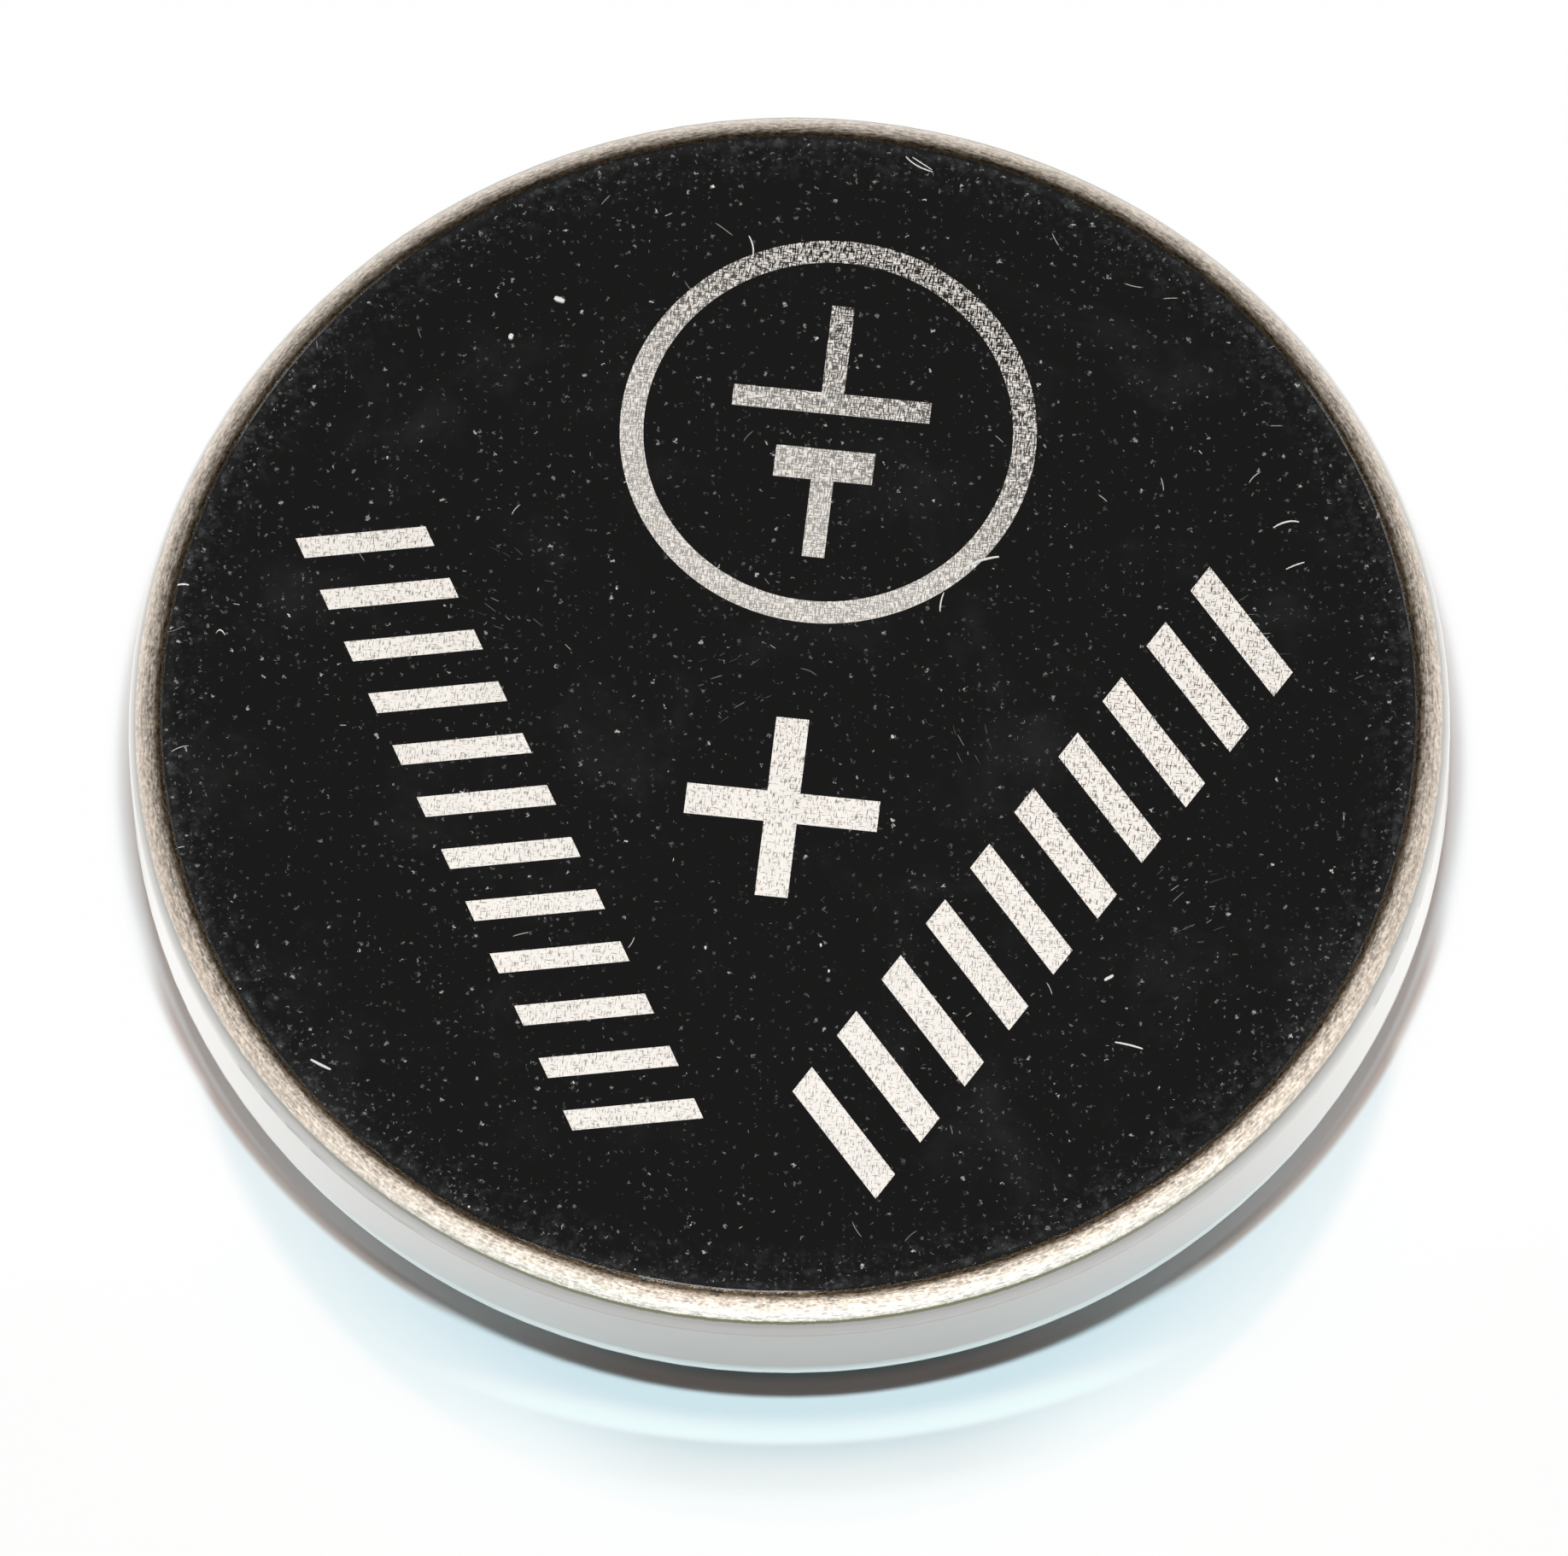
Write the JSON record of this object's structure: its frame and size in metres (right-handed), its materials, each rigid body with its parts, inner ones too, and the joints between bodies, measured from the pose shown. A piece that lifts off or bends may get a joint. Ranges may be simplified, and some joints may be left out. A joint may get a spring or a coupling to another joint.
{
  "type": "lithium coin cell",
  "caption": "Round lithium coin cell: a steel positive can crimped over a gasket and a stepped negative cap, with electrodes inside.",
  "frame": {"origin": "centre of the negative cap's contact face, which is the lowest point of the cell", "axes": "+Z along the cell's axis, towards the positive face; +X to the right and +Y away from the camera in the reference view"},
  "size_m": [0.0244, 0.0244, 0.005],
  "materials": {
    "can_steel": "polished face, satin rim and smooth wall",
    "cap_steel": "fine matt nickel",
    "gasket_plastic": "moulded polypropylene",
    "cathode_mix": "pressed powder",
    "collector_steel": "plain stainless steel",
    "separator_fleece": "nonwoven fleece",
    "lithium_metal": "soft dull metal"
  },
  "bodies": {
    "root": {"positive_can": "can_steel", "gasket": "gasket_plastic", "negative_cap": "cap_steel", "cathode_pellet": "cathode_mix", "cathode_collector": "collector_steel", "separator": "separator_fleece", "lithium_anode": "lithium_metal"}
  },
  "joints": []
}
